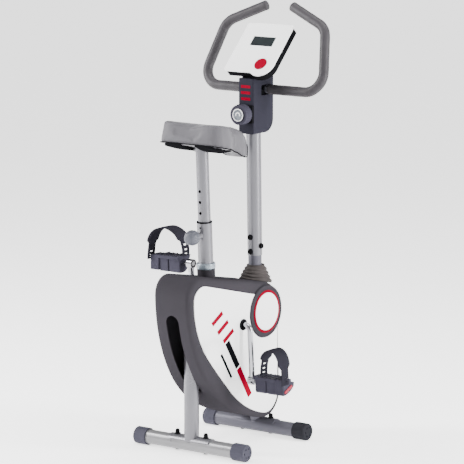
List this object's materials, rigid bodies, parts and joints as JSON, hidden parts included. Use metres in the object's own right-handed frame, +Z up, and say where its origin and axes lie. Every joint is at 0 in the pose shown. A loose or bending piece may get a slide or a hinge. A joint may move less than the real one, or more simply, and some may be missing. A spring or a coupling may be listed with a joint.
{
  "type": "upright exercise bike",
  "caption": "Upright exercise bike with a shrouded magnetic flywheel drive, pedals with foot straps, height-adjustable saddle, tilted looped handlebar and a small console.",
  "frame": {"origin": "centre of the overall bounding box, on the floor", "axes": "+X to the rider's right, +Y forwards, +Z up"},
  "size_m": [0.5052, 0.5604, 1.3193],
  "materials": {
    "belt_rubber": "matt",
    "black_plastic": "satin",
    "bolt_black": "black coated fasteners",
    "boot_rubber": "matt moulded",
    "cap_plastic": "moulded, faintly ribbed",
    "collar_steel": "satin silver",
    "crank_chrome": "plated",
    "display_plastic": "grey liquid crystal window",
    "flywheel_iron": "machined rim",
    "frame_paint": "silver-grey powder coat",
    "grip_foam": "closed foam",
    "head_plastic": "satin",
    "machined_steel": "turned",
    "pedal_plastic": "moulded",
    "post_steel": "satin silver",
    "pulley_plastic": "moulded",
    "red_button": "gloss",
    "red_reflector": "ribbed reflector",
    "red_trim": "gloss",
    "saddle_vinyl": "grained grey vinyl over foam",
    "shell_plastic": "fine texture",
    "strap_rubber": "matt",
    "white_panel": "gloss"
  },
  "bodies": {
    "frame": {"axle_rings": "black_plastic", "bar_clamp": "frame_paint", "brake_pivot_pin": "machined_steel", "console_back": "head_plastic", "console_display": "display_plastic", "console_front": "white_panel", "crank_bearings": "machined_steel", "disc_covers": "white_panel", "drive_belt": "belt_rubber", "flywheel_bearings": "machined_steel", "flywheel_fork": "frame_paint", "foot_bolts": "bolt_black", "front_cap_left": "cap_plastic", "front_cap_right": "cap_plastic", "front_foot_tube": "frame_paint", "front_upright": "frame_paint", "grips": "grip_foam", "handlebar": "frame_paint", "head_casing_left": "head_plastic", "head_casing_right": "head_plastic", "knob_bezel": "black_plastic", "main_beam": "frame_paint", "mast_bolts": "bolt_black", "mast_boot": "boot_rubber", "mast_tube": "frame_paint", "neck_collar": "collar_steel", "rear_cap_left": "cap_plastic", "rear_cap_right": "cap_plastic", "rear_foot_tube": "frame_paint", "rear_upright": "frame_paint", "seat_tube": "frame_paint", "shroud_left": "shell_plastic", "shroud_right": "shell_plastic", "side_panel_left": "white_panel", "side_panel_right": "white_panel", "sleeve_bushing": "black_plastic", "trim_rings": "red_trim"},
    "crank": {"crank": "crank_chrome", "pedal_spindles": "machined_steel", "drive_pulley": "pulley_plastic"},
    "pedal_left": {"pedal_left": "pedal_plastic", "pedal_strap_left": "strap_rubber", "pedal_reflector_left": "red_reflector"},
    "pedal_right": {"pedal_right": "pedal_plastic", "pedal_strap_right": "strap_rubber", "pedal_reflector_right": "red_reflector"},
    "flywheel": {"flywheel": "flywheel_iron", "flywheel_shaft": "machined_steel", "flywheel_pulley": "machined_steel"},
    "brake": {"magnet_shoe": "machined_steel", "brake_magnets": "machined_steel"},
    "seat": {"seat_post": "post_steel", "seat_clamp": "frame_paint", "saddle_pan": "black_plastic", "saddle_cushion": "saddle_vinyl"},
    "seat_lock": {"lock_pin": "machined_steel", "lock_knob": "black_plastic"},
    "tension_knob": {"tension_knob": "black_plastic"},
    "start_button": {"console_button": "red_button"}
  },
  "joints": [
    {"name": "crank_spin", "type": "hinge", "parent": "frame", "child": "crank", "pos_m": [0, -0.0317, 0.375], "axis": [1, 0, 0], "continuous": true},
    {"name": "pedal_left_spin", "type": "hinge", "parent": "crank", "child": "pedal_left", "pos_m": [-0.17, -0.0317, 0.54], "axis": [1, 0, 0], "continuous": true},
    {"name": "pedal_right_spin", "type": "hinge", "parent": "crank", "child": "pedal_right", "pos_m": [0.17, -0.0317, 0.21], "axis": [1, 0, 0], "continuous": true},
    {"name": "flywheel_spin", "type": "hinge", "parent": "frame", "child": "flywheel", "pos_m": [0, -0.0067, 0.205], "axis": [1, 0, 0], "continuous": true},
    {"name": "seat_height", "type": "slide", "parent": "frame", "child": "seat", "axis": [0, -0.053, 0.9986], "range_m": [-0.132, 0]},
    {"name": "seat_lock_pull", "type": "slide", "parent": "frame", "child": "seat_lock", "axis": [0, -0.9986, -0.053], "range_m": [0, 0.008], "stiffness_N_per_m": 1500, "springref_m": -0.004},
    {"name": "tension_turn", "type": "hinge", "parent": "frame", "child": "tension_knob", "pos_m": [0, 0.0683, 0.992], "axis": [0, 1, 0], "range_deg": [0, 315]},
    {"name": "brake_swing", "type": "hinge", "parent": "frame", "child": "brake", "pos_m": [0, 0.0863, 0.312], "axis": [1, 0, 0], "range_deg": [0, 3.2]},
    {"name": "button_press", "type": "slide", "parent": "frame", "child": "start_button", "axis": [0, 0.7193, -0.6947], "range_m": [0, 0.002], "stiffness_N_per_m": 400, "springref_m": -0.003}
  ],
  "couplings": [
    {"joint": "flywheel_spin", "follows": "crank_spin", "ratio": 4.7222},
    {"joint": "brake_swing", "follows": "tension_turn", "ratio": 0.0095}
  ]
}
